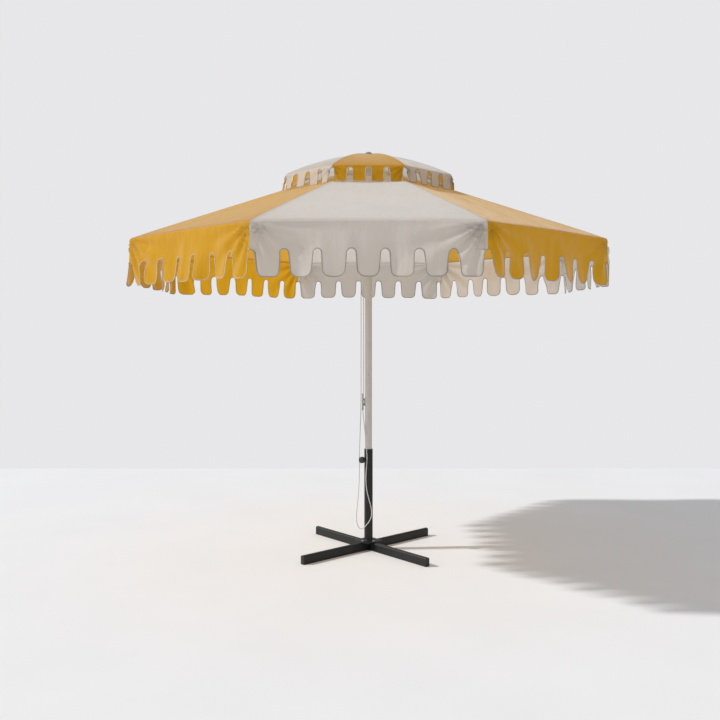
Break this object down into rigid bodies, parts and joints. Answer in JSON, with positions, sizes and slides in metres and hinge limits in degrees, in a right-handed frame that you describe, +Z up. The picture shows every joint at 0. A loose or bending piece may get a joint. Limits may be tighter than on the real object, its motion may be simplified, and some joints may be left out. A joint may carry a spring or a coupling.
{
  "type": "parasol",
  "caption": "Free-standing two-tier folding parasol with a scalloped octagonal canopy on a hinged rib frame, a rope hoist and a steel cross base.",
  "frame": {"origin": "on the floor at the centre of the cross base, under the pole", "axes": "+Z up along the pole; the front is -Y, and panels face +X, -X, +Y and -Y"},
  "size_m": [2.5884, 2.5884, 2.404],
  "materials": {
    "black_paint": "satin",
    "black_plastic": "matte",
    "bare_steel": "satin",
    "cream_paint": "satin",
    "pale_plastic": "matte",
    "grey_plastic": "matte",
    "frame_aluminium": "powder coat",
    "rope": "braided",
    "canvas_white": "woven",
    "canvas_yellow": "woven"
  },
  "bodies": {
    "base": {"base_bar_lower": "black_paint", "base_bar_upper": "black_paint", "bar_end_caps": "black_plastic", "base_plate": "black_paint", "base_bolts": "bare_steel", "base_tube": "black_paint"},
    "clamp_screw_body": {"clamp_screw": "bare_steel"},
    "clamp_knob_body": {"clamp_knob": "black_plastic"},
    "pole": {"lower_pole": "cream_paint", "upper_pole": "cream_paint", "rope_cleat": "pale_plastic", "top_hub": "pale_plastic", "hub_pins": "bare_steel", "finial": "grey_plastic", "halyard_hoist": "rope", "halyard_runs": "rope", "halyard_tail": "rope"},
    "button": {"pole_button": "bare_steel"},
    "pulley": {"pulley_wheel": "pale_plastic"},
    "runner_body": {"runner": "pale_plastic"},
    "rib_body_1": {"rib_1": "frame_aluminium"},
    "strut_body_1": {"strut_1": "frame_aluminium"},
    "vent_body_1": {"vent_gore_1": "canvas_yellow"},
    "rib_body_2": {"rib_2": "frame_aluminium"},
    "strut_body_2": {"strut_2": "frame_aluminium"},
    "vent_body_2": {"vent_gore_2": "canvas_yellow"},
    "rib_body_3": {"rib_3": "frame_aluminium"},
    "strut_body_3": {"strut_3": "frame_aluminium"},
    "vent_body_3": {"vent_gore_3": "canvas_yellow"},
    "rib_body_4": {"rib_4": "frame_aluminium"},
    "strut_body_4": {"strut_4": "frame_aluminium"},
    "vent_body_4": {"vent_gore_4": "canvas_yellow"},
    "rib_body_5": {"rib_5": "frame_aluminium"},
    "strut_body_5": {"strut_5": "frame_aluminium"},
    "vent_body_5": {"vent_gore_5": "canvas_yellow"},
    "rib_body_6": {"rib_6": "frame_aluminium"},
    "strut_body_6": {"strut_6": "frame_aluminium"},
    "vent_body_6": {"vent_gore_6": "canvas_yellow"},
    "rib_body_7": {"rib_7": "frame_aluminium"},
    "strut_body_7": {"strut_7": "frame_aluminium"},
    "vent_body_7": {"vent_gore_7": "canvas_yellow"},
    "rib_body_8": {"rib_8": "frame_aluminium"},
    "strut_body_8": {"strut_8": "frame_aluminium"},
    "vent_body_8": {"vent_gore_8": "canvas_yellow"},
    "panel_body_1": {"panel_1": "canvas_white"},
    "valance_body_1": {"valance_1": "canvas_white"},
    "panel_body_2": {"panel_2": "canvas_yellow"},
    "valance_body_2": {"valance_2": "canvas_yellow"},
    "panel_body_3": {"panel_3": "canvas_white"},
    "valance_body_3": {"valance_3": "canvas_white"},
    "panel_body_4": {"panel_4": "canvas_yellow"},
    "valance_body_4": {"valance_4": "canvas_yellow"},
    "panel_body_5": {"panel_5": "canvas_white"},
    "valance_body_5": {"valance_5": "canvas_white"},
    "panel_body_6": {"panel_6": "canvas_yellow"},
    "valance_body_6": {"valance_6": "canvas_yellow"},
    "panel_body_7": {"panel_7": "canvas_white"},
    "valance_body_7": {"valance_7": "canvas_white"},
    "panel_body_8": {"panel_8": "canvas_yellow"},
    "valance_body_8": {"valance_8": "canvas_yellow"}
  },
  "joints": [
    {"name": "clamp_screw_slide", "type": "slide", "parent": "base", "child": "clamp_screw_body", "axis": [-0.7193, -0.6947, 0], "range_m": [0, 0.0046]},
    {"name": "clamp_knob_turn", "type": "hinge", "parent": "clamp_screw_body", "child": "clamp_knob_body", "pos_m": [-0.03956, -0.03821, 0.545], "axis": [-0.7193, -0.6947, 0], "range_deg": [0, 1080]},
    {"name": "pole_swivel", "type": "hinge", "parent": "base", "child": "pole", "pos_m": [0, 0, 0.3], "axis": [0, 0, 1], "range_deg": [-12, 6]},
    {"name": "button_press", "type": "slide", "parent": "pole", "child": "button", "axis": [0, 1, 0], "range_m": [0, 0.003], "stiffness_N_per_m": 600},
    {"name": "pulley_spin", "type": "hinge", "parent": "pole", "child": "pulley", "pos_m": [-0.036, 0, 2.262], "axis": [0, 1, 0], "continuous": true},
    {"name": "runner_slide", "type": "slide", "parent": "pole", "child": "runner_body", "axis": [0, 0, 1], "range_m": [-0.70449, 0]},
    {"name": "rib_hinge_1", "type": "hinge", "parent": "pole", "child": "rib_body_1", "pos_m": [0.03326, 0.01378, 2.305], "axis": [-0.3827, 0.9239, 0], "range_deg": [0, 68.87]},
    {"name": "strut_hinge_1", "type": "hinge", "parent": "rib_body_1", "child": "strut_body_1", "pos_m": [0.51389, 0.21286, 2.09702], "axis": [-0.3827, 0.9239, 0], "range_deg": [-137.72, 0]},
    {"name": "vent_hinge_1", "type": "hinge", "parent": "pole", "child": "vent_body_1", "pos_m": [0.03418, 0.01416, 2.37], "axis": [-0.3827, 0.9239, 0], "range_deg": [0, 55.82], "deforming": ["vent_gore_1"]},
    {"name": "rib_hinge_2", "type": "hinge", "parent": "pole", "child": "rib_body_2", "pos_m": [0.01378, 0.03326, 2.305], "axis": [-0.9239, 0.3827, 0], "range_deg": [0, 68.87]},
    {"name": "strut_hinge_2", "type": "hinge", "parent": "rib_body_2", "child": "strut_body_2", "pos_m": [0.21286, 0.51389, 2.09702], "axis": [-0.9239, 0.3827, 0], "range_deg": [-137.72, 0]},
    {"name": "vent_hinge_2", "type": "hinge", "parent": "pole", "child": "vent_body_2", "pos_m": [0.01416, 0.03418, 2.37], "axis": [-0.9239, 0.3827, 0], "range_deg": [0, 55.82], "deforming": ["vent_gore_2"]},
    {"name": "rib_hinge_3", "type": "hinge", "parent": "pole", "child": "rib_body_3", "pos_m": [-0.01378, 0.03326, 2.305], "axis": [-0.9239, -0.3827, 0], "range_deg": [0, 68.87]},
    {"name": "strut_hinge_3", "type": "hinge", "parent": "rib_body_3", "child": "strut_body_3", "pos_m": [-0.21286, 0.51389, 2.09702], "axis": [-0.9239, -0.3827, 0], "range_deg": [-137.72, 0]},
    {"name": "vent_hinge_3", "type": "hinge", "parent": "pole", "child": "vent_body_3", "pos_m": [-0.01416, 0.03418, 2.37], "axis": [-0.9239, -0.3827, 0], "range_deg": [0, 55.82], "deforming": ["vent_gore_3"]},
    {"name": "rib_hinge_4", "type": "hinge", "parent": "pole", "child": "rib_body_4", "pos_m": [-0.03326, 0.01378, 2.305], "axis": [-0.3827, -0.9239, 0], "range_deg": [0, 68.87]},
    {"name": "strut_hinge_4", "type": "hinge", "parent": "rib_body_4", "child": "strut_body_4", "pos_m": [-0.51389, 0.21286, 2.09702], "axis": [-0.3827, -0.9239, 0], "range_deg": [-137.72, 0]},
    {"name": "vent_hinge_4", "type": "hinge", "parent": "pole", "child": "vent_body_4", "pos_m": [-0.03418, 0.01416, 2.37], "axis": [-0.3827, -0.9239, 0], "range_deg": [0, 55.82], "deforming": ["vent_gore_4"]},
    {"name": "rib_hinge_5", "type": "hinge", "parent": "pole", "child": "rib_body_5", "pos_m": [-0.03326, -0.01378, 2.305], "axis": [0.3827, -0.9239, 0], "range_deg": [0, 68.87]},
    {"name": "strut_hinge_5", "type": "hinge", "parent": "rib_body_5", "child": "strut_body_5", "pos_m": [-0.51389, -0.21286, 2.09702], "axis": [0.3827, -0.9239, 0], "range_deg": [-137.72, 0]},
    {"name": "vent_hinge_5", "type": "hinge", "parent": "pole", "child": "vent_body_5", "pos_m": [-0.03418, -0.01416, 2.37], "axis": [0.3827, -0.9239, 0], "range_deg": [0, 55.82], "deforming": ["vent_gore_5"]},
    {"name": "rib_hinge_6", "type": "hinge", "parent": "pole", "child": "rib_body_6", "pos_m": [-0.01378, -0.03326, 2.305], "axis": [0.9239, -0.3827, 0], "range_deg": [0, 68.87]},
    {"name": "strut_hinge_6", "type": "hinge", "parent": "rib_body_6", "child": "strut_body_6", "pos_m": [-0.21286, -0.51389, 2.09702], "axis": [0.9239, -0.3827, 0], "range_deg": [-137.72, 0]},
    {"name": "vent_hinge_6", "type": "hinge", "parent": "pole", "child": "vent_body_6", "pos_m": [-0.01416, -0.03418, 2.37], "axis": [0.9239, -0.3827, 0], "range_deg": [0, 55.82], "deforming": ["vent_gore_6"]},
    {"name": "rib_hinge_7", "type": "hinge", "parent": "pole", "child": "rib_body_7", "pos_m": [0.01378, -0.03326, 2.305], "axis": [0.9239, 0.3827, 0], "range_deg": [0, 68.87]},
    {"name": "strut_hinge_7", "type": "hinge", "parent": "rib_body_7", "child": "strut_body_7", "pos_m": [0.21286, -0.51389, 2.09702], "axis": [0.9239, 0.3827, 0], "range_deg": [-137.72, 0]},
    {"name": "vent_hinge_7", "type": "hinge", "parent": "pole", "child": "vent_body_7", "pos_m": [0.01416, -0.03418, 2.37], "axis": [0.9239, 0.3827, 0], "range_deg": [0, 55.82], "deforming": ["vent_gore_7"]},
    {"name": "rib_hinge_8", "type": "hinge", "parent": "pole", "child": "rib_body_8", "pos_m": [0.03326, -0.01378, 2.305], "axis": [0.3827, 0.9239, 0], "range_deg": [0, 68.87]},
    {"name": "strut_hinge_8", "type": "hinge", "parent": "rib_body_8", "child": "strut_body_8", "pos_m": [0.51389, -0.21286, 2.09702], "axis": [0.3827, 0.9239, 0], "range_deg": [-137.72, 0]},
    {"name": "vent_hinge_8", "type": "hinge", "parent": "pole", "child": "vent_body_8", "pos_m": [0.03418, -0.01416, 2.37], "axis": [0.3827, 0.9239, 0], "range_deg": [0, 55.82], "deforming": ["vent_gore_8"]},
    {"name": "panel_hinge_1", "type": "hinge", "parent": "pole", "child": "panel_body_1", "pos_m": [0, 0, 2.311], "axis": [0, 1, 0], "range_deg": [0, 66.29], "deforming": ["panel_1"]},
    {"name": "valance_hinge_1", "type": "hinge", "parent": "panel_body_1", "child": "valance_body_1", "pos_m": [1.29343, 0, 1.82], "axis": [0, 1, 0], "range_deg": [-66.29, 0], "deforming": ["valance_1"]},
    {"name": "panel_hinge_2", "type": "hinge", "parent": "pole", "child": "panel_body_2", "pos_m": [0, 0, 2.311], "axis": [-0.7071, 0.7071, 0], "range_deg": [0, 66.29], "deforming": ["panel_2"]},
    {"name": "valance_hinge_2", "type": "hinge", "parent": "panel_body_2", "child": "valance_body_2", "pos_m": [0.91459, 0.91459, 1.82], "axis": [-0.7071, 0.7071, 0], "range_deg": [-66.29, 0], "deforming": ["valance_2"]},
    {"name": "panel_hinge_3", "type": "hinge", "parent": "pole", "child": "panel_body_3", "pos_m": [0, 0, 2.311], "axis": [-1, 0, 0], "range_deg": [0, 66.29], "deforming": ["panel_3"]},
    {"name": "valance_hinge_3", "type": "hinge", "parent": "panel_body_3", "child": "valance_body_3", "pos_m": [0, 1.29343, 1.82], "axis": [-1, 0, 0], "range_deg": [-66.29, 0], "deforming": ["valance_3"]},
    {"name": "panel_hinge_4", "type": "hinge", "parent": "pole", "child": "panel_body_4", "pos_m": [0, 0, 2.311], "axis": [-0.7071, -0.7071, 0], "range_deg": [0, 66.29], "deforming": ["panel_4"]},
    {"name": "valance_hinge_4", "type": "hinge", "parent": "panel_body_4", "child": "valance_body_4", "pos_m": [-0.91459, 0.91459, 1.82], "axis": [-0.7071, -0.7071, 0], "range_deg": [-66.29, 0], "deforming": ["valance_4"]},
    {"name": "panel_hinge_5", "type": "hinge", "parent": "pole", "child": "panel_body_5", "pos_m": [0, 0, 2.311], "axis": [0, -1, 0], "range_deg": [0, 66.29], "deforming": ["panel_5"]},
    {"name": "valance_hinge_5", "type": "hinge", "parent": "panel_body_5", "child": "valance_body_5", "pos_m": [-1.29343, 0, 1.82], "axis": [0, -1, 0], "range_deg": [-66.29, 0], "deforming": ["valance_5"]},
    {"name": "panel_hinge_6", "type": "hinge", "parent": "pole", "child": "panel_body_6", "pos_m": [0, 0, 2.311], "axis": [0.7071, -0.7071, 0], "range_deg": [0, 66.29], "deforming": ["panel_6"]},
    {"name": "valance_hinge_6", "type": "hinge", "parent": "panel_body_6", "child": "valance_body_6", "pos_m": [-0.91459, -0.91459, 1.82], "axis": [0.7071, -0.7071, 0], "range_deg": [-66.29, 0], "deforming": ["valance_6"]},
    {"name": "panel_hinge_7", "type": "hinge", "parent": "pole", "child": "panel_body_7", "pos_m": [0, 0, 2.311], "axis": [1, 0, 0], "range_deg": [0, 66.29], "deforming": ["panel_7"]},
    {"name": "valance_hinge_7", "type": "hinge", "parent": "panel_body_7", "child": "valance_body_7", "pos_m": [0, -1.29343, 1.82], "axis": [1, 0, 0], "range_deg": [-66.29, 0], "deforming": ["valance_7"]},
    {"name": "panel_hinge_8", "type": "hinge", "parent": "pole", "child": "panel_body_8", "pos_m": [0, 0, 2.311], "axis": [0.7071, 0.7071, 0], "range_deg": [0, 66.29], "deforming": ["panel_8"]},
    {"name": "valance_hinge_8", "type": "hinge", "parent": "panel_body_8", "child": "valance_body_8", "pos_m": [0.91459, -0.91459, 1.82], "axis": [0.7071, 0.7071, 0], "range_deg": [-66.29, 0], "deforming": ["valance_8"]}
  ],
  "couplings": [
    {"joint": "clamp_screw_slide", "follows": "clamp_knob_turn", "m_per_rad": 0.00023873},
    {"joint": "rib_hinge_1", "follows": "runner_slide", "rad_per_m": -1.7057},
    {"joint": "strut_hinge_1", "follows": "runner_slide", "rad_per_m": 3.4113},
    {"joint": "vent_hinge_1", "follows": "runner_slide", "rad_per_m": -1.3824},
    {"joint": "rib_hinge_2", "follows": "runner_slide", "rad_per_m": -1.7057},
    {"joint": "strut_hinge_2", "follows": "runner_slide", "rad_per_m": 3.4113},
    {"joint": "vent_hinge_2", "follows": "runner_slide", "rad_per_m": -1.3824},
    {"joint": "rib_hinge_3", "follows": "runner_slide", "rad_per_m": -1.7057},
    {"joint": "strut_hinge_3", "follows": "runner_slide", "rad_per_m": 3.4113},
    {"joint": "vent_hinge_3", "follows": "runner_slide", "rad_per_m": -1.3824},
    {"joint": "rib_hinge_4", "follows": "runner_slide", "rad_per_m": -1.7057},
    {"joint": "strut_hinge_4", "follows": "runner_slide", "rad_per_m": 3.4113},
    {"joint": "vent_hinge_4", "follows": "runner_slide", "rad_per_m": -1.3824},
    {"joint": "rib_hinge_5", "follows": "runner_slide", "rad_per_m": -1.7057},
    {"joint": "strut_hinge_5", "follows": "runner_slide", "rad_per_m": 3.4113},
    {"joint": "vent_hinge_5", "follows": "runner_slide", "rad_per_m": -1.3824},
    {"joint": "rib_hinge_6", "follows": "runner_slide", "rad_per_m": -1.7057},
    {"joint": "strut_hinge_6", "follows": "runner_slide", "rad_per_m": 3.4113},
    {"joint": "vent_hinge_6", "follows": "runner_slide", "rad_per_m": -1.3824},
    {"joint": "rib_hinge_7", "follows": "runner_slide", "rad_per_m": -1.7057},
    {"joint": "strut_hinge_7", "follows": "runner_slide", "rad_per_m": 3.4113},
    {"joint": "vent_hinge_7", "follows": "runner_slide", "rad_per_m": -1.3824},
    {"joint": "rib_hinge_8", "follows": "runner_slide", "rad_per_m": -1.7057},
    {"joint": "strut_hinge_8", "follows": "runner_slide", "rad_per_m": 3.4113},
    {"joint": "vent_hinge_8", "follows": "runner_slide", "rad_per_m": -1.3824},
    {"joint": "panel_hinge_1", "follows": "runner_slide", "rad_per_m": -1.6418},
    {"joint": "valance_hinge_1", "follows": "runner_slide", "rad_per_m": 1.6418},
    {"joint": "panel_hinge_2", "follows": "runner_slide", "rad_per_m": -1.6418},
    {"joint": "valance_hinge_2", "follows": "runner_slide", "rad_per_m": 1.6418},
    {"joint": "panel_hinge_3", "follows": "runner_slide", "rad_per_m": -1.6418},
    {"joint": "valance_hinge_3", "follows": "runner_slide", "rad_per_m": 1.6418},
    {"joint": "panel_hinge_4", "follows": "runner_slide", "rad_per_m": -1.6418},
    {"joint": "valance_hinge_4", "follows": "runner_slide", "rad_per_m": 1.6418},
    {"joint": "panel_hinge_5", "follows": "runner_slide", "rad_per_m": -1.6418},
    {"joint": "valance_hinge_5", "follows": "runner_slide", "rad_per_m": 1.6418},
    {"joint": "panel_hinge_6", "follows": "runner_slide", "rad_per_m": -1.6418},
    {"joint": "valance_hinge_6", "follows": "runner_slide", "rad_per_m": 1.6418},
    {"joint": "panel_hinge_7", "follows": "runner_slide", "rad_per_m": -1.6418},
    {"joint": "valance_hinge_7", "follows": "runner_slide", "rad_per_m": 1.6418},
    {"joint": "panel_hinge_8", "follows": "runner_slide", "rad_per_m": -1.6418},
    {"joint": "valance_hinge_8", "follows": "runner_slide", "rad_per_m": 1.6418}
  ]
}
